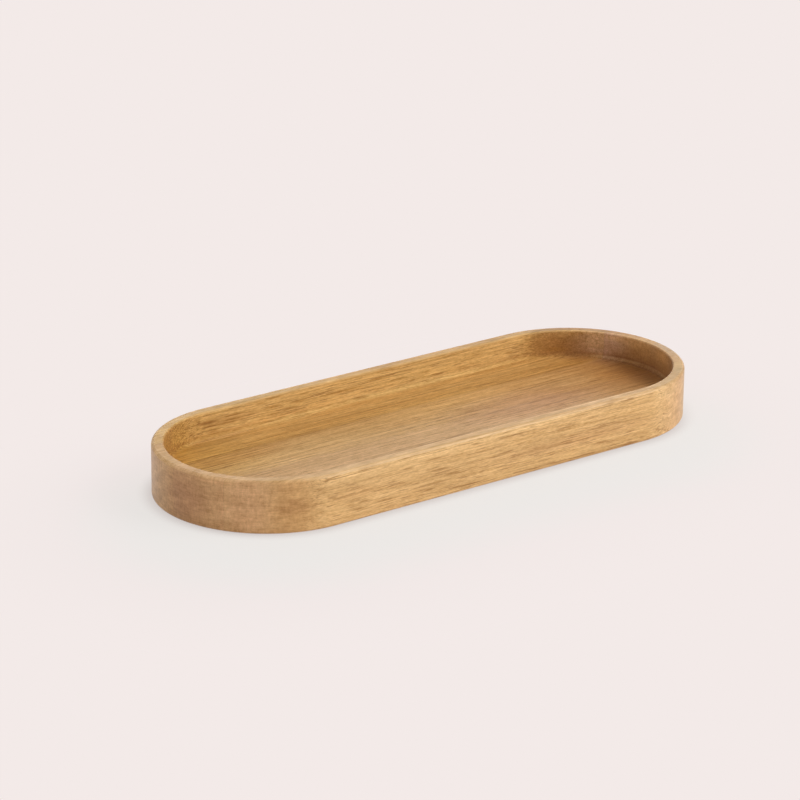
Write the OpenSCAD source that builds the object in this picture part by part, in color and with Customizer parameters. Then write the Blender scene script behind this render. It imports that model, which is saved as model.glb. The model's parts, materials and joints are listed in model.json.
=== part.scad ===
// Long wooden tray for a pair of mills: a shallow recess with a flat floor and upright walls,
// round at both ends, milled from a board that is edge-glued from staves.
// Millimetres. The origin is the middle of the underside, +X runs along the grain and the length,
// +Y to the back and +Z up.

/* [Tray] */
// Length over the two round ends
tray_l = 300; // [240:1:360]
// Width over the two straight sides
tray_w = 110; // [96:1:130]
// Height from the table to the top of the rim
tray_h = 26; // [23:0.5:34]

/* [Recess] */
// Thickness of the wall round the recess
wall_t = 6; // [4.5:0.5:9]
// Thickness of the floor under the recess
floor_t = 12; // [8:0.5:14]
// Radius of the cove where the floor turns up into the wall
cove_r = 2; // [1:0.25:4]

/* [Edges] */
// Radius along the outside of the rim
rim_outer_r = 1.6; // [0.5:0.1:2.5]
// Radius along the inside of the rim
rim_inner_r = 0.8; // [0.3:0.1:1.4]
// Radius along the edge that meets the table
foot_r = 1.2; // [0.5:0.1:3]

/* [Staves] */
// Width of one stave in the glued board
stave_w = 28; // [24:0.5:30]
// How far behind the middle of the tray the rearmost glue line runs
back_line = 26; // [20:0.5:32]

/* [Hidden] */
$fn = 128;

// Radius of a round end, outside and inside the wall
end_r = tray_w / 2;
recess_r = end_r - wall_t;
// Length of the straight sides between the round ends
straight_l = tray_l - tray_w;
// How far a cutter runs past the face that it cuts
past = 1;
// Glue lines from back to front
glue_y = [for (line = [0 : 2]) back_line - line * stave_w];
// The board reaches past the tray on every side before the outline is cut
board_half_l = tray_l / 2 + past;
board_half_w = tray_w / 2 + past;

golden = [0.80, 0.59, 0.34];
honey = [0.76, 0.55, 0.31];
tan_brown = [0.72, 0.51, 0.29];
dark_honey = [0.69, 0.47, 0.25];

// What is cut from a square corner to round it. The corner is at the origin and the work lies
// towards -X and -Y.
module corner_waste(r) {
    difference() {
        translate([-r, -r]) square(r + past);
        translate([-r, -r]) circle(r);
    }
}

// Half of the section of the solid blank, from the middle line out to its side
module blank_section() {
    difference() {
        square([end_r, tray_h]);
        translate([end_r, tray_h]) corner_waste(rim_outer_r);
        translate([end_r, 0]) mirror([0, 1]) corner_waste(foot_r);
    }
}

// Half of the section that is milled away: a flat floor, a cove and an upright wall,
// opening out a little where the rim's inner edge is broken
module recess_section() {
    difference() {
        translate([0, floor_t]) square([recess_r, tray_h - floor_t + past]);
        translate([recess_r, floor_t]) mirror([0, 1]) corner_waste(cove_r);
    }
    translate([recess_r, tray_h]) mirror([1, 0]) corner_waste(rim_inner_r);
}

// Carries a half section along the straight sides and round both ends
module along_outline() {
    rotate([90, 0, 90]) linear_extrude(straight_l, center = true) {
        children();
        mirror([1, 0]) children();
    }
    for (turn = [0, 180])
        rotate(turn) translate([straight_l / 2, 0, 0]) rotate(-90)
            rotate_extrude(angle = 180) children();
}

// The whole milled form, before it is parted into its staves
module milled_form() {
    along_outline() difference() {
        blank_section();
        recess_section();
    }
}

// The share of the milled form that lies between two lines across the board
module stave(front_y, rear_y) {
    intersection() {
        milled_form();
        translate([-board_half_l, front_y, -past])
            cube([2 * board_half_l, rear_y - front_y, tray_h + 2 * past]);
    }
}

module front_stave() {
    color(golden) stave(-board_half_w, glue_y[2]);
}

module front_middle_stave() {
    color(tan_brown) stave(glue_y[2], glue_y[1]);
}

module rear_middle_stave() {
    color(honey) stave(glue_y[1], glue_y[0]);
}

module back_stave() {
    color(dark_honey) stave(glue_y[0], board_half_w);
}

front_stave();
front_middle_stave();
rear_middle_stave();
back_stave();
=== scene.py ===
"""Looks of the mill tray: edge-glued acacia staves, milled, sanded and oiled, on a pale studio floor."""

import json
import logging
import math
from dataclasses import dataclass, field
from enum import Enum
from typing import ClassVar, Mapping, Sequence, Union

import bmesh
import bpy
from mathutils import Matrix, Vector


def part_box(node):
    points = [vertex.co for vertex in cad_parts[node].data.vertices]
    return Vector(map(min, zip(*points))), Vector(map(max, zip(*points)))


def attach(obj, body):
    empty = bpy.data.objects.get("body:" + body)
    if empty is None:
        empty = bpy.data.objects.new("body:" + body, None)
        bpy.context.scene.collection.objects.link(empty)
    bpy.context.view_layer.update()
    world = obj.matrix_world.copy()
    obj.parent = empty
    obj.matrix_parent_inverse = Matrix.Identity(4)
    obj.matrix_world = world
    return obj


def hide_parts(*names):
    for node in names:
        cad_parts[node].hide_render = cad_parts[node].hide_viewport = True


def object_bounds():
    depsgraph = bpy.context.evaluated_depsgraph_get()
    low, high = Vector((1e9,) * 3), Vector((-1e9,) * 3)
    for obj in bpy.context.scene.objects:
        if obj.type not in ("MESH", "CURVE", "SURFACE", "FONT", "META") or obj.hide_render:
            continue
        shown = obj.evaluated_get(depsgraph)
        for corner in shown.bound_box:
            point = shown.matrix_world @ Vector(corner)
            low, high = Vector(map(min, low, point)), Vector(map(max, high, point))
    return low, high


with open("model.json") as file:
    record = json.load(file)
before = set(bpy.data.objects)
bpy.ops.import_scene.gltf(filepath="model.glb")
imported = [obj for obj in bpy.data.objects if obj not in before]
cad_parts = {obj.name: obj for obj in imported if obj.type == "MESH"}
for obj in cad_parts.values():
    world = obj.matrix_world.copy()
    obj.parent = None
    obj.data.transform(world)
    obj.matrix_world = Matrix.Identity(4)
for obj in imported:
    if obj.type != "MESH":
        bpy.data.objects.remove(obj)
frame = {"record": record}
CAD_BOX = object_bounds()

LOG = logging.getLogger("mill_tray")
BODY = "root"
MM = 0.001
NEAR = 0.01 * MM
WALL_T = 6.0 * MM

Span = tuple[float, float]
Triple = tuple[float, float, float]
Value = Union["Wire", float, Sequence[float]]


def linear(tone: Triple) -> tuple[float, float, float, float]:
    """Turns a tone as it is seen on a screen, 0 to 255, into the shader's linear colour.

    Args:
        tone: red, green and blue, from 0 to 255.

    Returns:
        Linear red, green, blue and an alpha of one.
    """
    def channel(level: float) -> float:
        """One channel through the screen's own curve."""
        share = level / 255.0
        return share / 12.92 if share <= 0.04045 else ((share + 0.055) / 1.055) ** 2.4

    return (*(channel(level) for level in tone), 1.0)


class Wire:
    """A value on its way through a node tree. Arithmetic on it adds Math nodes."""

    def __init__(self, graph: "Graph", socket: bpy.types.NodeSocket) -> None:
        """Keeps the tree and the socket that the value comes out of."""
        self.graph = graph
        self.socket = socket

    def tap(self, output: Union[str, int]) -> "Wire":
        """Another output of the node that this value comes from."""
        return Wire(self.graph, self.socket.node.outputs[output])

    def _math(self, operation: str, first: Value, second: Value = 0.0) -> "Wire":
        """Adds one Math node.

        Args:
            operation: the Math node's operation.
            first: its first value.
            second: its second value, where it has one.

        Returns:
            The node's result.
        """
        return self.graph.node("ShaderNodeMath", {"operation": operation}, {0: first, 1: second})

    def __add__(self, other: Value) -> "Wire":
        """self + other."""
        return self._math("ADD", self, other)

    def __radd__(self, other: Value) -> "Wire":
        """other + self."""
        return self._math("ADD", other, self)

    def __sub__(self, other: Value) -> "Wire":
        """self - other."""
        return self._math("SUBTRACT", self, other)

    def __rsub__(self, other: Value) -> "Wire":
        """other - self."""
        return self._math("SUBTRACT", other, self)

    def __mul__(self, other: Value) -> "Wire":
        """self * other."""
        return self._math("MULTIPLY", self, other)

    def __rmul__(self, other: Value) -> "Wire":
        """other * self."""
        return self._math("MULTIPLY", other, self)

    def __abs__(self) -> "Wire":
        """The size of the value without its sign."""
        return self._math("ABSOLUTE", self)

    def most(self, other: Value) -> "Wire":
        """The larger of the two values."""
        return self._math("MAXIMUM", self, other)

    def root(self) -> "Wire":
        """The square root of the value."""
        return self._math("SQRT", self)


class Graph:
    """Builds one node tree."""

    def __init__(self, tree: bpy.types.NodeTree) -> None:
        """Starts from an empty tree."""
        self.tree = tree
        self.tree.nodes.clear()

    def node(
        self,
        kind: str,
        settings: Mapping[str, object],
        sockets: Mapping[Union[str, int], Value],
        output: Union[str, int] = 0,
    ) -> Wire:
        """Adds a node.

        Args:
            kind: the node's type.
            settings: its properties, set first; "stops" are the colours of a ramp by place.
            sockets: a value or a wire for each input that isn't left as it is.
            output: the output that is wanted.

        Returns:
            The wire from that output, or from the first input of a node that ends the tree.
        """
        made = self.tree.nodes.new(kind)
        for name, setting in settings.items():
            if name == "stops":
                self._set_stops(made.color_ramp, setting)
            else:
                setattr(made, name, setting)
        for name, value in sockets.items():
            if isinstance(value, Wire):
                self.tree.links.new(value.socket, made.inputs[name])
            else:
                made.inputs[name].default_value = value
        return Wire(self, made.outputs[output] if made.outputs else made.inputs[0])

    @staticmethod
    def _set_stops(ramp: bpy.types.ColorRamp, stops: Sequence[tuple[float, Sequence[float]]]) -> None:
        """Gives a ramp its stops.

        Args:
            ramp: the ramp, as new.
            stops: a place and a linear colour for each stop.
        """
        while len(ramp.elements) < len(stops):
            ramp.elements.new(1.0)
        for element, (place, tone) in zip(ramp.elements, stops):
            element.position = place
            element.color = tone

    def vector(self, x: Value, y: Value, z: Value) -> Wire:
        """Joins three values into a vector."""
        return self.node("ShaderNodeCombineXYZ", {}, {0: x, 1: y, 2: z})

    def split(self, vector: Wire) -> tuple[Wire, Wire, Wire]:
        """Parts a vector into its three values."""
        x = self.node("ShaderNodeSeparateXYZ", {}, {0: vector})
        return x, x.tap(1), x.tap(2)

    def scaled(self, vector: Wire, level: Value) -> Wire:
        """A vector or a colour, multiplied by one level."""
        return self.node("ShaderNodeVectorMath", {"operation": "SCALE"}, {0: vector, "Scale": level})

    def measured(self, place: Wire, unit: Triple, shift: Sequence[float]) -> Wire:
        """Measures a place.

        Args:
            place: the place.
            unit: the length that counts as one, along each axis.
            shift: what is added to each count.

        Returns:
            The three counts as a vector.
        """
        return self.node(
            "ShaderNodeVectorMath",
            {"operation": "MULTIPLY_ADD"},
            {0: place, 1: [1.0 / length for length in unit], 2: shift},
        )

    def noise(self, place: Wire, detail: float, roughness: float) -> Wire:
        """Soft noise, about one swing for each unit of place.

        Args:
            place: where the noise is read.
            detail: how many finer layers are added.
            roughness: how strong those layers are.

        Returns:
            A value around a half.
        """
        return self.node(
            "ShaderNodeTexNoise",
            {"noise_dimensions": "3D"},
            {"Vector": place, "Scale": 1.0, "Detail": detail, "Roughness": roughness},
        )

    def step(self, value: Value, low: float, high: float, first: float = 0.0, last: float = 1.0) -> Wire:
        """A smooth step.

        Args:
            value: what is tested.
            low: where the step starts.
            high: where it ends, which may lie below its start.
            first: the result before the step.
            last: the result after it.

        Returns:
            A value from first to last.
        """
        return self.node(
            "ShaderNodeMapRange",
            {"interpolation_type": "SMOOTHSTEP"},
            {0: value, 1: low, 2: high, 3: first, 4: last},
        )

    def blend(self, factor: Value, under: Value, over: Value, mode: str = "MIX", label: str = "") -> Wire:
        """Mixes two colours.

        Args:
            factor: how much of the second shows.
            under: the first colour.
            over: the second colour.
            mode: the way of mixing.
            label: what the node is called in the tree.

        Returns:
            The mixed colour.
        """
        return self.node(
            "ShaderNodeMix",
            {"data_type": "RGBA", "blend_type": mode, "clamp_factor": True, "label": label},
            {0: factor, 6: under, 7: over},
            2,
        )

    def tinted(self, tone: Wire, share: Wire, gain: Triple, label: str) -> Wire:
        """A colour with each channel changed by its gain, as far as the share goes.

        Args:
            tone: the colour.
            share: how far it changes, from nothing to one.
            gain: what each channel is multiplied by.
            label: what the node is called in the tree.

        Returns:
            The changed colour.
        """
        return self.blend(share, tone, (*gain, 1.0), "MULTIPLY", label)


class Stave(Enum):
    """The staves of the board, by the name of their CAD node."""

    FRONT = "front_stave"
    FRONT_MIDDLE = "front_middle_stave"
    REAR_MIDDLE = "rear_middle_stave"
    BACK = "back_stave"


class Side(Enum):
    """Which faces of the tray a patch shows on."""

    RECESS = "recess"
    OUTSIDE = "outside"
    EDGE = "edge"
    ALL = "all"


@dataclass(frozen=True)
class TrayShape:
    """The tray's section, in millimetres, as far as its finish depends on it."""

    half_straight: float
    recess_r: float
    floor_z: float
    cove_r: float
    height: float


@dataclass(frozen=True)
class Faces:
    """Masks of the tray's faces: one where a face is of the kind, nothing elsewhere.

    The recess holds the floor, its wall and the cove between them. The eased faces are the rounded
    edges of the rim, the ends show end grain, and the slant is where the wall of the recess bends
    round. Sanded wood has lost the lines of its fibres and filled wood its pores. The burnished bend
    is the one that the cutter rubbed, and routed faces keep the cutter's duller finish.

    The spans say where each mask sets in. Depths are measured down from the rim and reaches outward,
    in millimetres. Turns are how far a face looks along the tray or up, from nothing to one. The
    recess starts at a share of its floor's height, and the cove ends at a share of its own radius.
    """

    RIM_DEPTH: ClassVar[Span] = (1.2, 0.3)
    EASED_DEPTH: ClassVar[Span] = (2.0, 1.2)
    EASED_FROM: ClassVar[Span] = (0.10, 0.40)
    EASED_TO: ClassVar[Span] = (0.85, 0.99)
    END_TURN: ClassVar[Span] = (0.06, 0.50)
    SLANT_TURN: ClassVar[Span] = (0.08, 0.35)
    BURNISHED_FROM: ClassVar[Span] = (100.0, 116.0)
    SANDED_TURN: ClassVar[Span] = (0.05, 0.40)
    SQUARE_TURN: ClassVar[Span] = (0.65, 0.95)
    FILLED_RIGHT: ClassVar[Span] = (0.20, 0.50)
    FILLED_LEFT: ClassVar[Span] = (-0.12, -0.40)
    RIM_SHARE: ClassVar[float] = 0.7
    SQUARE_SHARE: ClassVar[float] = 0.6
    FLAT_TURN: ClassVar[Span] = (0.90, 0.99)
    RECESS_FLOOR: ClassVar[Span] = (0.6, 0.8)
    RECESS_REACH: ClassVar[Span] = (0.4, 1.4)
    COVE_TOP: ClassVar[Span] = (0.5, 1.8)
    COVE_REACH: ClassVar[Span] = (-0.3, 0.9)

    recess: Wire
    outside: Wire
    cove: Wire
    rim: Wire
    eased: Wire
    ends: Wire
    slant: Wire
    burnished: Wire
    sanded: Wire
    filled: Wire
    routed: Wire

    @classmethod
    def read(cls, graph: Graph, place: Wire, normal: Wire, shape: TrayShape) -> "Faces":
        """Builds the masks.

        Args:
            graph: the material's tree.
            place: where a point lies, in millimetres.
            normal: which way its face looks.
            shape: the tray's section.

        Returns:
            The masks.
        """
        x, _, z = graph.split(place)
        normal_x, _, normal_z = graph.split(normal)
        turned, lying = abs(normal_x), abs(normal_z)
        recess, cove = cls._recess(graph, place, shape)
        outside = 1.0 - recess
        rim = graph.step(z, *(shape.height - depth for depth in cls.RIM_DEPTH))
        eased = graph.step(z, *(shape.height - depth for depth in cls.EASED_DEPTH))
        eased = eased * graph.step(lying, *cls.EASED_FROM) * (1.0 - graph.step(lying, *cls.EASED_TO))
        slant = recess * graph.step(turned, *cls.SLANT_TURN)
        sanded = (graph.step(turned, *cls.SANDED_TURN) * outside).most(cls.RIM_SHARE * rim)
        tight = graph.step(normal_x, *cls.FILLED_RIGHT).most(graph.step(normal_x, *cls.FILLED_LEFT))
        return cls(
            recess=recess,
            outside=outside,
            cove=cove,
            rim=rim,
            eased=eased,
            ends=graph.step(turned, *cls.END_TURN),
            slant=slant,
            burnished=slant * graph.step(x, *cls.BURNISHED_FROM),
            sanded=sanded.most(cls.SQUARE_SHARE * graph.step(turned, *cls.SQUARE_TURN)),
            filled=(tight * outside).most(cls.RIM_SHARE * rim),
            routed=recess * (1.0 - graph.step(lying, *cls.FLAT_TURN)),
        )

    @classmethod
    def _recess(cls, graph: Graph, place: Wire, shape: TrayShape) -> tuple[Wire, Wire]:
        """Where the recess lies.

        Args:
            graph: the material's tree.
            place: where a point lies, in millimetres.
            shape: the tray's section.

        Returns:
            Masks of the recess with its wall, and of the cove at the wall's foot.
        """
        x, y, z = graph.split(place)
        past_side = (abs(x) - shape.half_straight).most(0.0)
        out = (past_side * past_side + y * y).root()
        above = graph.step(z, *(share * shape.floor_z for share in cls.RECESS_FLOOR))
        beyond = graph.step(out, *(shape.recess_r + reach for reach in cls.RECESS_REACH))
        recess = above * (1.0 - beyond)
        foot = shape.recess_r - shape.cove_r
        high = graph.step(z, *(shape.floor_z + share * shape.cove_r for share in cls.COVE_TOP))
        near_wall = graph.step(out, *(foot + reach for reach in cls.COVE_REACH))
        return recess, recess * (1.0 - high) * near_wall

    def shown(self, side: Side) -> Value:
        """Where a patch shows.

        Args:
            side: the patch's side.

        Returns:
            The mask of that side's faces.
        """
        return {
            Side.RECESS: self.recess,
            Side.OUTSIDE: self.outside,
            Side.EDGE: self.eased,
            Side.ALL: 1.0,
        }[side]


@dataclass(frozen=True)
class Layer:
    """One layer of the wood's pattern, drawn as soft noise.

    The size is that of one swing in millimetres, along the tray, across it and up. The strength is
    how far the layer moves the tone, on open wood and on sanded wood. The shift is the way that a
    stave's seed moves the layer, so that no stave repeats another.
    """

    size: Triple
    strength: Span = (0.0, 0.0)
    shift: Triple = (0.0, 0.0, 0.0)
    detail: float = 2.0
    roughness: float = 0.5

    def draw(self, graph: Graph, place: Wire, seed: float) -> Wire:
        """Draws the layer.

        Args:
            graph: the material's tree.
            place: where it is read, in millimetres.
            seed: how far it is shifted.

        Returns:
            A value around a half.
        """
        shift = [seed * share for share in self.shift]
        return graph.noise(graph.measured(place, self.size, shift), self.detail, self.roughness)

    def swing(self, value: Wire, sanded: Wire) -> Wire:
        """How far the layer moves the tone.

        Args:
            value: the layer's value.
            sanded: where the wood is sanded.

        Returns:
            The move, around nothing.
        """
        open_wood, smooth_wood = self.strength
        return (open_wood + (smooth_wood - open_wood) * sanded) * (value - 0.5)


ALONG = (1.0, 0.0, 0.0)
ACROSS = (0.0, 1.0, 0.0)
UP = (0.0, 0.0, 1.0)

DRIFT = Layer((150.0, 45.0, 45.0), shift=UP, detail=1.0)
# The growth zones are measured out from the heart first and along the tray second
GROWTH_ZONE = Layer((8.0, 420.0, 1.0), (0.75, 0.75), detail=3.0, roughness=0.6)
STREAK = Layer((110.0, 1.5, 1.5), (0.85, 0.40), ALONG, roughness=0.6)
FIBRE = Layer((36.0, 0.60, 0.60), (1.25, 0.25), ACROSS, 3.0, 0.65)
HAIR = Layer((9.0, 0.50, 0.50), (0.55, 0.40), UP, 1.0, 0.6)
NAP = Layer((2.2, 0.55, 0.55), (0.75, 0.10), ALONG, 1.0, 0.6)
CLOUD = Layer((12.0, 6.0, 2.6), (0.0, 0.75))
RAY = Layer((9.0, 0.9, 3.2), (0.0, 0.70), roughness=0.6)
RING = Layer((9.0, 4.5, 0.8), (0.0, 0.70), roughness=0.6)
BLOTCH = Layer((26.0, 20.0, 12.0), (0.20, 0.20), ACROSS)


@dataclass(frozen=True)
class Figure:
    """The wood's figure at a point.

    The fibres are the place again, as the drifting fibres have it. The growth zone, the streak and
    the fibre are those layers' values there.
    """

    place: Wire
    fibres: Wire
    zone: Wire
    streak: Wire
    fibre: Wire


@dataclass(frozen=True)
class Pores:
    """Open pores: thin tubes along the fibres, cut to dashes on the long faces and to dots on the ends.

    More of them lie in light growth zones, in dark streaks and on the slant of the recess. Fewer are
    left open on filled and on burnished wood.
    """

    tone: Triple = (142, 92, 38)
    depth: float = 0.62
    wide: Layer = Layer((13.0, 0.46, 0.46), shift=ACROSS, detail=1.0)
    wide_from: Span = (0.64, 0.70)
    thin: Layer = Layer((10.0, 0.40, 0.40), shift=ALONG, detail=0.0)
    thin_from: Span = (0.62, 0.76)
    thin_share: float = 0.7
    by_zone: float = 0.30
    by_streak: float = 0.35
    on_slant: float = 0.10
    filled_share: float = 0.85
    burnished_share: float = 0.7

    def mask(self, graph: Graph, figure: Figure, faces: Faces, seed: float) -> Wire:
        """Where the pores lie open.

        Args:
            graph: the material's tree.
            figure: the wood's figure.
            faces: the masks of the tray's faces.
            seed: how far the stave's pores are shifted.

        Returns:
            A mask, one inside a pore.
        """
        more = self.by_zone * (figure.zone - 0.5) - self.by_streak * (figure.streak - 0.5)
        more = more + self.on_slant * faces.slant
        wide = graph.step(self.wide.draw(graph, figure.fibres, seed) + more, *self.wide_from)
        thin = graph.step(self.thin.draw(graph, figure.fibres, seed) + more, *self.thin_from)
        pore = wide.most(self.thin_share * thin) * (1.0 - self.filled_share * faces.filled)
        return pore * (1.0 - self.burnished_share * faces.burnished)


@dataclass(frozen=True)
class OilSheen:
    """The oiled face: how rough it is, how much rougher in places, and the relief of its grain."""

    roughness: float = 0.36
    in_pores: float = 0.20
    in_streaks: float = 0.10
    on_routed: float = 0.16
    in_cove: float = 0.40
    on_rim: float = 0.10
    ior: float = 1.50
    fibre_relief: float = 0.3
    relief_depth: float = 0.04 * MM
    relief_strength: float = 0.5

    def shader(self, graph: Graph, tone: Wire, pore: Wire, figure: Figure, faces: Faces) -> Wire:
        """Builds the shader.

        Args:
            graph: the material's tree.
            tone: the wood's colour.
            pore: the mask of the open pores.
            figure: the wood's figure.
            faces: the masks of the tray's faces.

        Returns:
            The shader.
        """
        rough = self.roughness + self.in_pores * pore + self.in_streaks * (figure.streak - 0.5)
        rough = rough + self.on_routed * faces.routed + self.in_cove * faces.cove + self.on_rim * faces.rim
        bump = graph.node(
            "ShaderNodeBump",
            {},
            {
                "Strength": self.relief_strength,
                "Distance": self.relief_depth,
                "Height": self.fibre_relief * figure.fibre - pore,
            },
        )
        return graph.node(
            "ShaderNodeBsdfPrincipled",
            {},
            {"Base Color": tone, "Roughness": rough, "IOR": self.ior, "Normal": bump},
        )


@dataclass(frozen=True)
class Patch:
    """A soft patch that changes the wood's colour: many are the wood's uneven tone, and those marked by a
    comment are painted shade, highlight or sheen.

    It has a name, a middle and a reach in millimetres, a gain for each channel, and the side that
    shows it.
    """

    FADE: ClassVar[Span] = (0.2, 1.0)

    name: str
    middle: Triple
    reach: Triple
    gain: Triple
    side: Side = Side.RECESS

    def share(self, graph: Graph, place: Wire) -> Wire:
        """How much of the patch shows.

        Args:
            graph: the material's tree.
            place: where a point lies, in millimetres.

        Returns:
            One in the patch's middle, nothing at its reach.
        """
        shift = [-middle / reach for middle, reach in zip(self.middle, self.reach)]
        off = graph.measured(place, self.reach, shift)
        far = graph.node("ShaderNodeVectorMath", {"operation": "LENGTH"}, {0: off}, "Value")
        return graph.step(far, *self.FADE, 1.0, 0.0)


@dataclass(frozen=True)
class WallDashes:
    """The darkest dashes on a long wall, where its longest pores lie open.

    Each mark is a dash's middle along the tray, its height and its half length.
    """

    wall_y: float
    side: Side
    gain: Triple
    marks: tuple[Triple, ...]
    half_depth: float = 4.0
    half_height: float = 0.75
    soft_end: float = 1.3

    def patches(self) -> tuple[Patch, ...]:
        """Lays out the dashes.

        Returns:
            A thin patch for each dash.
        """
        return tuple(
            Patch(
                "dash",
                (along, self.wall_y, up),
                (self.soft_end * half, self.half_depth, self.half_height),
                self.gain,
                self.side,
            )
            for along, up, half in self.marks
        )


@dataclass(frozen=True)
class AcaciaFinish:
    """One stave's oiled acacia.

    The swing is how far each channel moves from the main tone to a light or a dark fibre, and the
    ramp's reach is how many swings it goes to each side. The heart is where the middle of the tree
    would lie, seen on the board's end, in millimetres: the staves are matched, so their growth zones
    run on across the glue lines. The drift is how far the fibres wander sideways, in millimetres.
    The seed shifts the finer layers.
    """

    main: Triple
    seed: float
    patches: tuple[Patch, ...]
    swing: Triple = (0.17, 0.22, 0.32)
    ramp_reach: float = 2.0
    # End grain is darker: partly the end grain's own tone, partly painted shade.
    end_gain: Triple = (0.90, 0.85, 0.86)
    # The ends inside the recess are darker still: partly the end grain's tone, partly painted shade in the
    # recess.
    recess_end_tone_and_shade: Triple = (0.82, 0.80, 0.78)
    # Painted shade in the cove at the foot of the recess's wall.
    cove_painted_shade: Triple = (0.91, 0.88, 0.80)
    # Painted sheen: the rim's top is paler and bluer.
    rim_painted_sheen: Triple = (1.05, 1.06, 1.15)
    pores: Pores = Pores()
    sheen: OilSheen = OilSheen()
    heart: Span = (-25.0, -60.0)
    drift: float = 3.0
    drift_shift: float = 7.0
    glue_tone: Triple = (128, 84, 46)
    glue_share: float = 0.18
    glue_half: Span = (0.04, 0.16)

    def material(self, name: str, glue_mm: Sequence[float], shape: TrayShape) -> bpy.types.Material:
        """Builds the stave's material.

        Args:
            name: the material's name.
            glue_mm: where the stave's glue lines run, across the tray.
            shape: the tray's section.

        Returns:
            The material.
        """
        made = bpy.data.materials.new(name)
        made.use_nodes = True
        graph = Graph(made.node_tree)
        point = graph.node("ShaderNodeTexCoord", {}, {}, "Object")
        place = graph.scaled(point, 1.0 / MM)
        faces = Faces.read(graph, place, point.tap("Normal"), shape)
        figure = self._figure(graph, place)
        pore = self.pores.mask(graph, figure, faces, self.seed)
        tone = self._wood(graph, figure, faces)
        tone = self._dressed(graph, tone, place, faces)
        tone = graph.blend(self.pores.depth * pore, tone, linear(self.pores.tone), label="pores")
        tone = self._glued(graph, tone, place, glue_mm)
        shader = self.sheen.shader(graph, tone, pore, figure, faces)
        graph.node("ShaderNodeOutputMaterial", {}, {"Surface": shader})
        return made

    def _figure(self, graph: Graph, place: Wire) -> Figure:
        """Lets the fibres drift sideways along the stave, and draws what runs along them.

        Args:
            graph: the material's tree.
            place: where a point lies, in millimetres.

        Returns:
            The wood's figure there.
        """
        x, y, z = graph.split(place)
        fibre_y = y + self.drift * (DRIFT.draw(graph, place, 0.0) - 0.5)
        fibre_z = z + self.drift * (DRIFT.draw(graph, place, self.drift_shift) - 0.5)
        fibres = graph.vector(x, fibre_y, fibre_z)
        across = fibre_y - self.heart[0]
        above = fibre_z - self.heart[1]
        from_heart = (across * across + above * above).root()
        return Figure(
            place=place,
            fibres=fibres,
            zone=GROWTH_ZONE.draw(graph, graph.vector(from_heart, x, 0.0), self.seed),
            streak=STREAK.draw(graph, fibres, self.seed),
            fibre=FIBRE.draw(graph, fibres, self.seed),
        )

    def _wood(self, graph: Graph, figure: Figure, faces: Faces) -> Wire:
        """The bare wood's colour.

        Args:
            graph: the material's tree.
            figure: the wood's figure.
            faces: the masks of the tray's faces.

        Returns:
            The colour, from dark to light fibres.
        """
        drawn = [(GROWTH_ZONE, figure.zone), (STREAK, figure.streak), (FIBRE, figure.fibre)]
        drawn += [(layer, layer.draw(graph, figure.fibres, self.seed)) for layer in (HAIR, NAP)]
        drawn += [(layer, layer.draw(graph, figure.place, self.seed)) for layer in (CLOUD, RAY, RING)]
        light = 0.5
        for layer, value in drawn:
            light = light + layer.swing(value, faces.sanded)
        tone = graph.node("ShaderNodeValToRGB", {"stops": self._stops()}, {0: light})
        blotch = BLOTCH.draw(graph, figure.place, self.seed)
        return graph.scaled(tone, 1.0 + BLOTCH.swing(blotch, faces.sanded))

    def _stops(self) -> list[tuple[float, tuple[float, ...]]]:
        """The ramp from the darkest fibres through the main tone to the lightest.

        Returns:
            A place and a linear colour for each stop.
        """
        main = linear(self.main)[:3]
        stops = []
        for side in (-1.0, 0.0, 1.0):
            tone = [level * (1.0 + side * self.ramp_reach * move) for level, move in zip(main, self.swing)]
            stops.append((0.5 + 0.5 * side, (*tone, 1.0)))
        return stops

    def _dressed(self, graph: Graph, tone: Wire, place: Wire, faces: Faces) -> Wire:
        """Gives each kind of face and each patch its own tone; some of these tones are painted shade,
        highlight and sheen.

        Args:
            graph: the material's tree.
            tone: the bare wood's colour.
            place: where a point lies, in millimetres.
            faces: the masks of the tray's faces.

        Returns:
            The dressed wood's colour.
        """
        # Darker end grain: partly its own tone, partly painted shade.
        tone = graph.tinted(tone, faces.ends, self.end_gain, "ends")
        # Painted shade in the recess, on top of the end grain's darker tone.
        tone = graph.tinted(tone, faces.ends * faces.recess, self.recess_end_tone_and_shade, "recess ends tone and shade")
        # Painted shade in the cove.
        tone = graph.tinted(tone, faces.cove, self.cove_painted_shade, "cove")
        # Painted sheen on the rim's top.
        tone = graph.tinted(tone, faces.rim, self.rim_painted_sheen, "rim")
        for patch in self.patches:
            share = faces.shown(patch.side) * patch.share(graph, place)
            tone = graph.tinted(tone, share, patch.gain, patch.name)
        return tone

    def _glued(self, graph: Graph, tone: Wire, place: Wire, glue_mm: Sequence[float]) -> Wire:
        """Draws the glue lines, as faint as they are on a well-fitted joint.

        Args:
            graph: the material's tree.
            tone: the wood's colour.
            place: where a point lies, in millimetres.
            glue_mm: where the glue lines run, across the tray.

        Returns:
            The colour with its glue lines.
        """
        _, y, _ = graph.split(place)
        for line in glue_mm:
            seam = 1.0 - graph.step(abs(y - line), *self.glue_half)
            tone = graph.blend(self.glue_share * seam, tone, linear(self.glue_tone), label="glue line")
        return tone


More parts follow.
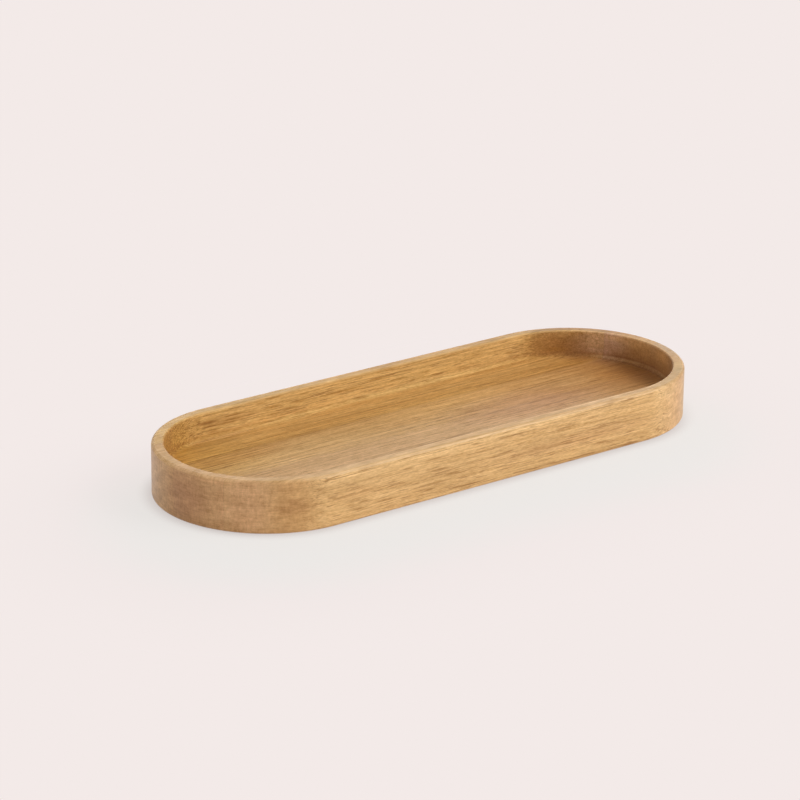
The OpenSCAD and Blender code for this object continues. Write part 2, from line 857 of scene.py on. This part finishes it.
@dataclass
class GluedTray:
    """The tray: one milled form, parted at its glue lines into staves.

    The main sizes come from the frame. The rest are the sizes of its section.
    """

    finishes: Mapping[Stave, AcaciaFinish]
    wall_t: float = WALL_T
    cove_r: float = 2.0 * MM
    rim_outer_r: float = 1.6 * MM
    rim_inner_r: float = 0.8 * MM
    foot_r: float = 1.2 * MM
    turn_steps: int = 96
    straight_steps: int = 38
    edge_segments: int = 8
    end_r: float = field(init=False)
    recess_r: float = field(init=False)
    half_straight: float = field(init=False)
    height: float = field(init=False)
    floor_z: float = field(init=False)

    def __post_init__(self) -> None:
        """Reads the main sizes from the frame."""
        low, high = CAD_BOX
        self.end_r = (high.y - low.y) / 2
        self.recess_r = self.end_r - self.wall_t
        self.half_straight = (high.x - low.x) / 2 - self.end_r
        self.height = high.z
        mounts = {mount["name"]: mount for mount in frame["record"]["mounts"]}
        self.floor_z = mounts["recess_floor"]["pos_m"][2]

    def build(self) -> list[bpy.types.Object]:
        """Makes every stave and dresses it.

        Returns:
            The staves' objects.
        """
        form = self._milled_form()
        pieces = [self._stave(form, stave) for stave in Stave]
        form.free()
        return pieces

    def _shape(self) -> TrayShape:
        """The section as the finish needs it.

        Returns:
            The section, in millimetres.
        """
        return TrayShape(
            half_straight=self.half_straight / MM,
            recess_r=self.recess_r / MM,
            floor_z=self.floor_z / MM,
            cove_r=self.cove_r / MM,
            height=self.height / MM,
        )

    def _section(self) -> list[Vector]:
        """Half of the tray's section, with sharp corners.

        Returns:
            Its corners, from the middle of the underside to the middle of the floor.
        """
        corners = [
            (0.0, 0.0),
            (self.end_r, 0.0),
            (self.end_r, self.height),
            (self.recess_r, self.height),
            (self.recess_r, self.floor_z),
            (0.0, self.floor_z),
        ]
        return [Vector((self.half_straight, -out, up)) for out, up in corners]

    def _milled_form(self) -> bmesh.types.BMesh:
        """Sweeps the section along both sides and round both ends, and rounds its edges.

        Returns:
            The closed form.
        """
        form = bmesh.new()
        chain = [form.verts.new(corner) for corner in self._section()]
        ring = [*chain, *(form.edges.new(pair) for pair in zip(chain, chain[1:]))]
        for side in (-1, 1):
            ring = self._sweep(form, ring, Vector((side * 2 * self.half_straight, 0, 0)), 0.0, Vector())
            centre = Vector((side * self.half_straight, 0, 0))
            ring = self._sweep(form, ring, Vector(), -math.pi, centre)
        bmesh.ops.remove_doubles(form, verts=form.verts, dist=NEAR)
        bmesh.ops.recalc_face_normals(form, faces=form.faces)
        for out, up, radius in (
            (self.end_r, 0.0, self.foot_r),
            (self.end_r, self.height, self.rim_outer_r),
            (self.recess_r, self.height, self.rim_inner_r),
            (self.recess_r, self.floor_z, self.cove_r),
        ):
            self._round_edge(form, out, up, radius)
        return form

    def _sweep(
        self, form: bmesh.types.BMesh, ring: list, shift: Vector, turn: float, centre: Vector
    ) -> list:
        """Carries the section on, straight or round an end.

        Args:
            form: the mesh.
            ring: the section's vertices and edges where it is now.
            shift: how far it goes in all, if straight.
            turn: the angle that it turns through, if round.
            centre: what it turns round.

        Returns:
            The section's vertices and edges where it ends.
        """
        steps = self.turn_steps if turn else self.straight_steps
        swept = bmesh.ops.spin(
            form, geom=ring, cent=centre, axis=(0, 0, 1), angle=turn, steps=steps,
            dvec=shift / steps, use_merge=False, use_duplicate=False,
        )
        return swept["geom_last"]

    def _out(self, place: Vector) -> float:
        """How far a place lies from the line between the centres of the two ends."""
        return math.hypot(max(abs(place.x) - self.half_straight, 0.0), place.y)

    def _round_edge(self, form: bmesh.types.BMesh, out: float, up: float, radius: float) -> None:
        """Rounds the edge that runs all round the tray.

        Args:
            form: the mesh.
            out: how far out the edge lies.
            up: how high it lies.
            radius: the radius that it gets.
        """
        def on_edge(vert: bmesh.types.BMVert) -> bool:
            """Whether a vertex lies on the edge."""
            return abs(vert.co.z - up) < NEAR and abs(self._out(vert.co) - out) < NEAR

        edges = [edge for edge in form.edges if all(on_edge(vert) for vert in edge.verts)]
        bmesh.ops.bevel(
            form, geom=edges, offset=radius, offset_type="OFFSET", affect="EDGES",
            segments=self.edge_segments, profile=0.5, material=-1, clamp_overlap=True,
        )

    def _stave(self, form: bmesh.types.BMesh, stave: Stave) -> bpy.types.Object:
        """Cuts one stave out of the form and dresses it.

        Args:
            form: the whole tray.
            stave: which stave it is.

        Returns:
            The stave's object.
        """
        low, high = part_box(stave.value)
        part = form.copy()
        glue = []
        for line, outward in ((low.y, -1), (high.y, 1)):
            if abs(line) > self.end_r - NEAR:
                continue
            glue.append(line / MM)
            self._cut(part, line, outward)
        mesh = bpy.data.meshes.new("sanded_" + stave.value)
        part.to_mesh(mesh)
        part.free()
        piece = bpy.data.objects.new(mesh.name, mesh)
        bpy.context.scene.collection.objects.link(piece)
        normals = piece.modifiers.new("even_flats", "WEIGHTED_NORMAL")
        normals.keep_sharp = True
        slot = stave.value + "_wood"
        mesh.materials.append(self.finishes[stave].material(slot, glue, self._shape()))
        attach(piece, BODY)
        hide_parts(stave.value)
        LOG.info("%s: %d faces, glue lines at %s mm", piece.name, len(mesh.polygons), glue)
        return piece

    @staticmethod
    def _cut(part: bmesh.types.BMesh, line: float, outward: int) -> None:
        """Saws the form along a glue line, drops what lies beyond and closes the cut.

        Args:
            part: the mesh.
            line: where the glue line runs, across the tray.
            outward: which way lies what is dropped, 1 to the back and -1 to the front.
        """
        bmesh.ops.bisect_plane(
            part, geom=[*part.verts, *part.edges, *part.faces], dist=NEAR / 10,
            plane_co=(0, line, 0), plane_no=(0, outward, 0), clear_outer=True,
        )
        rim = [edge for edge in part.edges if edge.is_boundary]
        bmesh.ops.triangle_fill(part, edges=rim, use_beauty=True, normal=(0, outward, 0))
        for edge in rim:
            edge.smooth = False
        for face in part.faces:
            face.smooth = True


@dataclass(frozen=True)
class PhotoCamera:
    """The camera where the photograph was taken, as angles round the tray and a slide of the view."""

    azimuth_deg: float = -37.647
    elevation_deg: float = 19.887
    roll_deg: float = 0.563
    distance: float = 1.7529
    slide_right: float = -0.0125
    slide_up: float = 0.0243
    focal_px: float = 3573.7
    image_px: float = 800.0
    sensor_mm: float = 36.0

    def build(self) -> bpy.types.Object:
        """Makes the camera and has the scene look through it.

        Returns:
            The camera.
        """
        turn, rise, roll = (
            math.radians(angle) for angle in (self.azimuth_deg, self.elevation_deg, self.roll_deg)
        )
        back = Vector((math.sin(turn) * math.cos(rise), -math.cos(turn) * math.cos(rise), math.sin(rise)))
        level = Vector((math.cos(turn), math.sin(turn), 0.0))
        upright = back.cross(level)
        right = math.cos(roll) * level + math.sin(roll) * upright
        up = math.cos(roll) * upright - math.sin(roll) * level
        lens = bpy.data.cameras.new("photo_camera")
        lens.sensor_width = self.sensor_mm
        lens.lens = self.focal_px / self.image_px * self.sensor_mm
        camera = bpy.data.objects.new(lens.name, lens)
        bpy.context.scene.collection.objects.link(camera)
        place = self.distance * back + self.slide_right * right + self.slide_up * up
        camera.matrix_world = Matrix.Translation(place) @ Matrix((right, up, back)).transposed().to_4x4()
        bpy.context.scene.camera = camera
        LOG.info("%s: %.2f m away", camera.name, self.distance)
        return camera


@dataclass(frozen=True)
class Lamp:
    """A soft lamp: where it stands, seen from the tray, how large it is and how strong."""

    name: str
    azimuth_deg: float
    elevation_deg: float
    distance: float
    size: Span
    watts: float

    def build(self) -> bpy.types.Object:
        """Makes the lamp and turns it to the tray.

        Returns:
            The lamp.
        """
        light = bpy.data.lights.new(self.name, "AREA")
        light.shape = "RECTANGLE"
        light.size, light.size_y = self.size
        light.energy = self.watts
        lamp = bpy.data.objects.new(self.name, light)
        bpy.context.scene.collection.objects.link(lamp)
        turn, rise = math.radians(self.azimuth_deg), math.radians(self.elevation_deg)
        flat = math.cos(rise)
        towards = Vector((math.cos(turn) * flat, math.sin(turn) * flat, math.sin(rise)))
        lamp.location = towards * self.distance
        lamp.rotation_euler = towards.to_track_quat("Z", "Y").to_euler()
        lamp.visible_camera = False
        LOG.info("%s: %.0f W", lamp.name, self.watts)
        return lamp


@dataclass(frozen=True)
class Studio:
    """A pale table and backdrop, a pale sky all round, a soft key lamp and a low lamp behind.

    Near the tray lies a pool in which the table is a little cooler and takes the tray's shadow.
    Further off it glows evenly. A contact shade lies along the tray's foot, and fades at its right
    end. The table's sheet is open under the tray and lies a little below it.
    """

    backdrop: Triple = (243, 234, 232)
    floor_tone: Triple = (244, 238, 236)
    floor_reach: float = 5.6
    opening_steps: int = 66
    drop: float = 0.1 * MM
    lap: float = 6.0 * MM
    pool_tone: Triple = (238, 235, 232)
    pool_middle: Span = (-20.0 * MM, -28.0 * MM)
    pool_half: float = 95.0 * MM
    pool_reach: Span = (50.0 * MM, 105.0 * MM)
    shade_reach: Span = (60.0 * MM, 160.0 * MM)
    glow_share: float = 0.85
    contact_tone: Triple = (213, 206, 203)
    contact_reach: float = 8.0 * MM
    contact_open: Span = (0.45, 1.0)
    contact_samples: int = 6
    fade_reach: Span = (115.0 * MM, 145.0 * MM)
    fade: float = 0.4
    sky_level: float = 0.55
    ceiling: float = 0.15
    ceiling_rise: Span = (0.22, 0.36)
    lamps: tuple[Lamp, ...] = (
        Lamp("soft_key", -48.0, 36.0, 2.4, (1.6, 1.3), 32.0),
        Lamp("low_back", 52.4, 8.0, 3.0, (2.4, 0.8), 12.0),
    )

    def build(self) -> None:
        """Makes the table, the sky and the lamps."""
        bpy.context.scene.view_settings.view_transform = "Standard"
        self._table()
        self._sky()
        for lamp in self.lamps:
            lamp.build()

    @staticmethod
    def _seen(graph: Graph) -> Wire:
        """One for rays that show the backdrop: the camera's, and those in a reflection or through glass."""
        camera = graph.node("ShaderNodeLightPath", {}, {}, "Is Camera Ray")
        return camera.most(camera.tap("Is Glossy Ray")).most(camera.tap("Is Transmission Ray"))

    def _table(self) -> None:
        """A wide pale table, most of it a steady glow to the camera, with the tray's shadow on it."""
        sheet = self._open_sheet()
        mesh = bpy.data.meshes.new("studio_floor")
        sheet.to_mesh(mesh)
        sheet.free()
        floor = bpy.data.objects.new(mesh.name, mesh)
        bpy.context.scene.collection.objects.link(floor)
        mesh.materials.append(self._table_material())
        LOG.info("%s: %d faces", floor.name, len(mesh.polygons))

    def _open_sheet(self) -> bmesh.types.BMesh:
        """The table's face, open under the tray, so that the underside can be looked at from below.

        Returns:
            The face's mesh.
        """
        _, high = CAD_BOX
        sheet = bmesh.new()
        bmesh.ops.create_circle(sheet, segments=4, radius=self.floor_reach)
        opening = bmesh.ops.create_circle(
            sheet, segments=self.opening_steps, radius=high.y - self.lap
        )
        for side in (-1, 1):
            half = [vert for vert in opening["verts"] if side * vert.co.x > NEAR]
            bmesh.ops.translate(sheet, verts=half, vec=(side * (high.x - high.y), 0, 0))
        bmesh.ops.translate(sheet, verts=sheet.verts, vec=(0, 0, -self.drop))
        bmesh.ops.triangle_fill(sheet, edges=sheet.edges, use_beauty=True, normal=(0, 0, 1))
        return sheet

    def _table_material(self) -> bpy.types.Material:
        """The table's pale face, with its pool and the contact shade.

        Returns:
            The material.
        """
        made = bpy.data.materials.new("pale_table")
        made.use_nodes = True
        graph = Graph(made.node_tree)
        x, y, _ = graph.split(graph.node("ShaderNodeTexCoord", {}, {}, "Object"))
        along = (abs(x - self.pool_middle[0]) - self.pool_half).most(0.0)
        across = y - self.pool_middle[1]
        out = (along * along + across * across).root()
        tone = graph.blend(graph.step(out, *self.pool_reach), linear(self.pool_tone), linear(self.backdrop))
        open_sky = graph.node(
            "ShaderNodeAmbientOcclusion",
            {"samples": self.contact_samples},
            {"Distance": self.contact_reach},
            "AO",
        )
        near = graph.step(open_sky, *self.contact_open, 1.0, 0.0)
        near = near * graph.step(x, *self.fade_reach, 1.0, self.fade)
        tone = graph.blend(near, tone, linear(self.contact_tone))
        lit = graph.node("ShaderNodeBsdfDiffuse", {}, {"Color": linear(self.floor_tone)})
        glow = graph.node("ShaderNodeEmission", {}, {"Color": tone, "Strength": 1.0})
        share = graph.step(out, *self.shade_reach, self.glow_share, 1.0) * self._seen(graph)
        shader = graph.node("ShaderNodeMixShader", {}, {0: share, 1: lit, 2: glow})
        graph.node("ShaderNodeOutputMaterial", {}, {"Surface": shader})
        return made

    def _sky(self) -> None:
        """An even pale sky that lights the tray from all round."""
        world = bpy.data.worlds.new("studio_sky")
        world.use_nodes = True
        bpy.context.scene.world = world
        graph = Graph(world.node_tree)
        _, _, up = graph.split(graph.node("ShaderNodeTexCoord", {}, {}, "Generated"))
        seen = graph.node(
            "ShaderNodeBackground",
            {},
            {
                "Color": linear(self.backdrop),
                "Strength": graph.step(up, *self.ceiling_rise, 1.0, self.ceiling),
            },
        )
        light = graph.node(
            "ShaderNodeBackground", {}, {"Color": (1.0, 1.0, 1.0, 1.0), "Strength": self.sky_level}
        )
        shader = graph.node("ShaderNodeMixShader", {}, {0: self._seen(graph), 1: light, 2: seen})
        graph.node("ShaderNodeOutputWorld", {}, {"Surface": shader})


FRONT_Y = CAD_BOX[0].y / MM
BACK_Y = (CAD_BOX[1].y - WALL_T) / MM

# Patches that several staves share, because they run on across the glue lines
EVERY_STAVE = (
    # Painted highlight along the rounded rim edge at the left end.
    Patch("painted highlight on left edge", (-148.0, 0.0, 25.5), (26.0, 55.0, 6.0), (1.29, 1.39, 1.47), Side.EDGE),
)
FRONT_ENDS = (
    Patch("mauve left end", (-135.0, -38.0, 13.0), (18.0, 17.0, 24.0), (1.08, 1.05, 1.16), Side.OUTSIDE),
    # Painted highlight below the rim's rounded edge at the left end.
    Patch("painted highlight on left brow", (-143.6, -25.8, 24.2), (14.0, 14.0, 2.6), (1.15, 1.16, 1.20), Side.OUTSIDE),
    Patch("pale right rim", (134.8, -33.4, 26.2), (16.0, 16.0, 2.4), (1.04, 1.09, 1.13), Side.OUTSIDE),
)
FRONT_FLOOR = (
    Patch("mauve floor", (58.0, -2.0, 12.0), (64.0, 26.0, 4.0), (0.91, 0.83, 0.83)),
    # Painted shade in the recess's right corner.
    Patch("painted shade in right corner", (141.0, -3.0, 12.0), (22.0, 38.0, 3.0), (0.61, 0.54, 0.45)),
)
MIDDLE_ENDS = (
    # Painted shade on the left end, which faces away from the key lamp.
    Patch("painted shade on left end", (-149.0, -9.0, 11.5), (16.0, 23.0, 20.0), (0.79, 0.70, 0.67), Side.OUTSIDE),
    Patch("right wall", (144.0, 4.0, 20.5), (8.0, 17.0, 6.5), (1.10, 1.09, 1.04)),
    # Painted shade on the floor near the right end's wall.
    Patch("painted shade on right floor", (125.0, 3.0, 12.0), (22.0, 19.0, 4.0), (0.93, 0.88, 0.79)),
)
RIGHT_END = (
    # Painted shade: the floor is darker and warmer towards the right end.
    Patch("warm floor", (105.0, 0.0, 11.0), (85.0, 55.0, 8.0), (0.95, 0.87, 0.81)),
    # Painted shade over the recess's right end.
    Patch("painted shade at right end", (140.0, 5.0, 12.0), (52.0, 70.0, 12.0), (0.82, 0.72, 0.61)),
    # Painted shade at the foot of the right end's wall.
    Patch("dark foot", (140.0, 4.0, 12.0), (16.0, 34.0, 4.0), (0.82, 0.71, 0.65)),
    # Painted highlight along the cove at the right end.
    Patch("painted highlight in the right cove", (142.0, 0.0, 13.0), (24.0, 48.0, 1.5), (1.84, 2.47, 3.57)),
    Patch("light wall top", (134.0, 12.0, 26.5), (34.0, 50.0, 7.0), (1.26, 1.30, 1.34)),
    # Painted shade on the rim at the right end, dimming its sheen.
    Patch("painted shade on right rim", (131.0, 31.0, 26.0), (43.0, 47.0, 3.0), (0.77, 0.65, 0.56), Side.OUTSIDE),
)
REAR_RECESS = (
    # Painted shade and reflection of the back wall: darker and warmer along the back of the floor, the cove
    # and the wall's foot.
    Patch("painted shade by the back wall", (0.0, 42.0, 10.0), (420.0, 34.0, 8.0), (0.92, 0.84, 0.74)),
    Patch("golden left end", (-130.0, 28.0, 15.0), (65.0, 48.0, 24.0), (0.94, 0.89, 0.65)),
    Patch("dark band", (-62.0, 26.0, 12.0), (80.0, 3.6, 4.0), (0.80, 0.75, 0.66)),
    Patch("end of the dark band", (88.0, 27.0, 12.0), (50.0, 2.0, 4.0), (0.83, 0.78, 0.71)),
    Patch("mauve bend", (136.1, 26.6, 19.5), (17.0, 20.0, 13.0), (1.20, 1.30, 2.00)),
    Patch("foot of the mauve", (134.5, 29.0, 15.8), (9.0, 9.0, 2.4), (1.07, 1.13, 1.36)),
    Patch("top of the mauve", (130.4, 33.8, 23.6), (6.0, 6.0, 2.0), (0.88, 0.87, 0.91)),
    Patch("umber bend", (126.8, 37.2, 16.5), (11.0, 11.0, 12.0), (0.85, 0.80, 0.86)),
)

# Patches that lie on one stave alone
FRONT_WALL = (
    Patch("pale upper edge", (0.0, FRONT_Y, 24.0), (210.0, 5.0, 1.7), (1.13, 1.18, 1.26), Side.OUTSIDE),
    Patch("pale upper right", (42.0, FRONT_Y, 19.1), (105.0, 6.0, 5.3), (1.16, 1.19, 1.26), Side.OUTSIDE),
    Patch("pale upper left", (-90.0, FRONT_Y, 23.5), (14.0, 5.0, 1.6), (1.20, 1.25, 1.32), Side.OUTSIDE),
    Patch("pale lower middle", (8.0, FRONT_Y, 7.3), (42.0, 6.0, 2.2), (1.12, 1.15, 1.19), Side.OUTSIDE),
    Patch("dark right", (50.0, FRONT_Y, 11.0), (75.0, 6.0, 4.5), (0.90, 0.85, 0.82), Side.OUTSIDE),
    Patch("dark foot", (35.0, FRONT_Y, 2.5), (120.0, 6.0, 3.5), (0.88, 0.86, 0.80), Side.OUTSIDE),
    Patch("dark left", (-84.0, FRONT_Y, 14.0), (20.0, 6.0, 4.5), (0.91, 0.87, 0.82), Side.OUTSIDE),
)
FRONT_BENDS = (
    Patch("warm left bend", (-117.0, -50.5, 13.0), (18.0, 10.0, 30.0), (0.96, 0.91, 0.82), Side.OUTSIDE),
    Patch("dark left bend", (-115.0, -51.0, 13.0), (17.0, 9.0, 6.0), (0.87, 0.82, 0.76), Side.OUTSIDE),
    Patch("pale right bend", (111.0, -54.0, 13.0), (16.0, 10.0, 40.0), (1.05, 1.08, 1.14), Side.OUTSIDE),
    Patch("pale right top", (114.0, -52.0, 22.0), (20.0, 9.0, 5.0), (1.05, 1.10, 1.17), Side.OUTSIDE),
    Patch("dark right end", (131.8, -40.9, 13.0), (9.0, 9.0, 30.0), (0.90, 0.94, 0.94), Side.OUTSIDE),
)
FRONT_RIM = (
    Patch("pale right", (68.0, -52.0, 26.3), (46.0, 8.0, 3.0), (1.07, 1.08, 1.14), Side.OUTSIDE),
    # Painted shade on the front rim at the right end.
    Patch("dark right end", (119.0, -46.0, 26.4), (24.0, 18.0, 2.4), (0.88, 0.90, 0.94), Side.OUTSIDE),
    # Painted highlight along the front rim's inner edge.
    Patch("painted highlight on front lip", (-10.0, -49.4, 26.2), (140.0, 2.6, 2.6), (1.15, 1.18, 1.27), Side.ALL),
    # Painted shade that dims the front rim's rounded edge.
    Patch("painted shade on front edge", (0.0, FRONT_Y, 25.5), (140.0, 6.0, 6.0), (0.95, 0.95, 0.96), Side.EDGE),
)
FRONT_DASHES = WallDashes(FRONT_Y, Side.OUTSIDE, (0.67, 0.59, 0.45), (
    (-53.5, 19.1, 4.0), (-38.0, 20.4, 8.0), (-35.5, 14.6, 7.5), (-27.5, 10.8, 6.0),
    (-79.0, 8.8, 3.6), (-36.5, 8.3, 12.0), (-66.0, 6.4, 8.0), (-82.0, 5.6, 6.0),
    (-40.5, 5.6, 4.0), (-16.5, 2.8, 11.0), (-13.0, 22.6, 3.0), (9.0, 21.9, 10.0),
    (45.5, 18.8, 7.5), (79.0, 16.5, 10.0), (66.0, 6.1, 6.0), (92.5, 2.8, 2.0),
))
FRONT_MIDDLE_RIGHT = (
    Patch("near wall", (143.0, -14.0, 19.0), (10.0, 14.0, 12.0), (1.08, 1.09, 1.05)),
    Patch("near wall top", (142.3, -12.7, 22.5), (10.0, 11.0, 5.5), (1.20, 1.20, 1.15)),
    Patch("near rim", (147.0, -12.0, 26.0), (12.0, 18.0, 3.0), (0.92, 1.01, 1.20), Side.OUTSIDE),
)
REAR_MIDDLE_FLOOR = (
    Patch("pale middle", (0.0, 12.0, 12.0), (34.0, 8.0, 4.0), (1.14, 1.14, 1.17)),
    Patch("pale right", (50.0, 11.0, 12.0), (40.0, 8.0, 4.0), (1.06, 1.08, 1.14)),
    Patch("pale right band", (50.0, 20.0, 12.0), (100.0, 8.0, 4.0), (1.11, 1.10, 1.06)),
    Patch("dark left", (-98.0, 20.0, 12.0), (45.0, 10.0, 4.0), (0.95, 0.89, 0.83)),
)
REAR_MIDDLE_ENDS = (
    Patch("light right wall top", (139.0, 20.4, 23.6), (5.0, 9.0, 2.0), (1.11, 1.13, 1.03)),
    Patch("grey left end", (-148.5, 10.0, 13.0), (10.0, 16.0, 24.0), (0.93, 0.94, 0.95), Side.OUTSIDE),
)
BACK_WALL = (
    Patch("light wall", (0.0, BACK_Y, 19.0), (140.0, 3.0, 9.0), (1.04, 1.06, 1.04)),
    Patch("dark left", (-82.0, BACK_Y, 19.3), (28.0, 4.0, 3.2), (0.86, 0.81, 0.76)),
    Patch("light lower left", (-78.0, BACK_Y, 15.8), (36.0, 4.0, 1.8), (1.13, 1.19, 1.27)),
    # Painted highlight below the back rim's inner edge at the left.
    Patch("painted highlight under left back rim", (-84.0, BACK_Y, 24.8), (24.0, 4.0, 1.6), (1.12, 1.20, 1.32)),
    Patch("light lower right", (36.0, BACK_Y, 16.2), (20.0, 4.0, 1.5), (1.20, 1.27, 1.36)),
    Patch("knot", (-96.0, BACK_Y, 20.2), (10.0, 4.0, 1.7), (0.58, 0.48, 0.36)),
    Patch("light left bend", (-116.0, 44.5, 18.0), (12.0, 10.0, 14.0), (1.12, 1.16, 1.04)),
    Patch("dim right bend", (107.7, 48.5, 18.0), (12.0, 8.0, 12.0), (0.90, 0.90, 0.83)),
    Patch("dark right bend", (116.0, 46.0, 19.0), (24.0, 16.0, 8.5), (0.83, 0.71, 0.57)),
    Patch("foot of the right bend", (119.0, 42.6, 15.8), (12.0, 7.0, 2.2), (0.97, 0.94, 0.76)),
)
BACK_DASHES = WallDashes(BACK_Y, Side.RECESS, (0.74, 0.66, 0.52), (
    (-94.5, 18.0, 6.0), (-80.5, 21.0, 7.0), (-81.0, 18.8, 6.0), (-84.5, 17.5, 8.0),
    (-92.0, 15.2, 3.6), (-64.5, 23.3, 3.2), (-56.0, 24.7, 5.5), (-57.0, 20.3, 5.5),
    (-41.5, 19.7, 6.5), (-38.5, 23.0, 4.0), (-46.0, 17.3, 5.0), (-56.0, 16.3, 4.6),
    (-16.0, 19.2, 18.0), (8.0, 21.3, 8.0), (20.0, 18.5, 6.0), (38.0, 18.5, 4.6),
    (-3.5, 13.8, 4.0), (92.0, 17.8, 3.5),
))
BACK_FLOOR = (
    Patch("warm floor", (10.0, 31.0, 12.0), (260.0, 9.0, 4.0), (0.95, 0.88, 0.76)),
    Patch("light left", (-100.0, 32.0, 12.0), (30.0, 6.0, 3.0), (1.05, 1.08, 1.14)),
    Patch("dark left", (-102.0, 44.0, 12.0), (34.0, 9.0, 4.0), (0.88, 0.88, 0.88)),
    # Painted highlight along the cove at the back wall's foot.
    Patch("painted cove highlight left", (-95.0, 46.6, 12.1), (34.0, 2.4, 1.6), (1.38, 1.53, 2.00)),
    Patch("painted cove highlight middle", (-50.0, 47.2, 12.4), (40.0, 3.4, 2.6), (1.12, 1.24, 1.42)),
    Patch("painted cove highlight right", (30.0, 48.6, 13.3), (95.0, 4.0, 2.8), (1.12, 1.26, 1.50)),
)
BACK_RIM = (
    Patch("pale left", (-104.0, 51.0, 26.3), (20.0, 8.0, 3.0), (1.09, 1.11, 1.22), Side.OUTSIDE),
    Patch("dark middle", (30.0, 52.0, 26.5), (110.0, 6.0, 3.0), (0.89, 0.82, 0.75), Side.OUTSIDE),
    Patch("dark right", (118.0, 46.0, 26.3), (45.0, 30.0, 3.0), (0.90, 0.88, 0.86), Side.OUTSIDE),
)

FINISHES = {
    Stave.FRONT: AcaciaFinish(
        main=(218, 174, 113),
        seed=3.1,
        patches=(
            *EVERY_STAVE, *FRONT_ENDS, *FRONT_FLOOR,
            *FRONT_WALL, *FRONT_BENDS, *FRONT_RIM, *FRONT_DASHES.patches(),
        ),
    ),
    Stave.FRONT_MIDDLE: AcaciaFinish(
        main=(216, 170, 112),
        seed=11.7,
        patches=(
            *EVERY_STAVE, *FRONT_ENDS, *FRONT_FLOOR, *MIDDLE_ENDS, *RIGHT_END,
            *FRONT_MIDDLE_RIGHT,
        ),
    ),
    Stave.REAR_MIDDLE: AcaciaFinish(
        main=(219, 173, 111),
        seed=23.4,
        swing=(0.19, 0.25, 0.35),
        patches=(
            *EVERY_STAVE, *FRONT_FLOOR, *MIDDLE_ENDS, *RIGHT_END, *REAR_RECESS,
            *REAR_MIDDLE_FLOOR, *REAR_MIDDLE_ENDS,
        ),
    ),
    Stave.BACK: AcaciaFinish(
        main=(219, 174, 105),
        seed=37.9,
        swing=(0.20, 0.25, 0.36),
        recess_end_tone_and_shade=(0.85, 0.83, 0.76),
        patches=(
            *EVERY_STAVE, *RIGHT_END, *REAR_RECESS,
            *BACK_WALL, *BACK_FLOOR, *BACK_RIM, *BACK_DASHES.patches(),
        ),
    ),
}


def write_sizes() -> None:
    """Brings the view layer up to date."""
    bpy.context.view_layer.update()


def main() -> None:
    """Builds the tray, then the studio round it and the camera."""
    logging.basicConfig(level=logging.INFO, format="%(name)s: %(message)s")
    GluedTray(FINISHES).build()
    Studio().build()
    PhotoCamera().build()
    write_sizes()


if __name__ == "__main__":
    main()
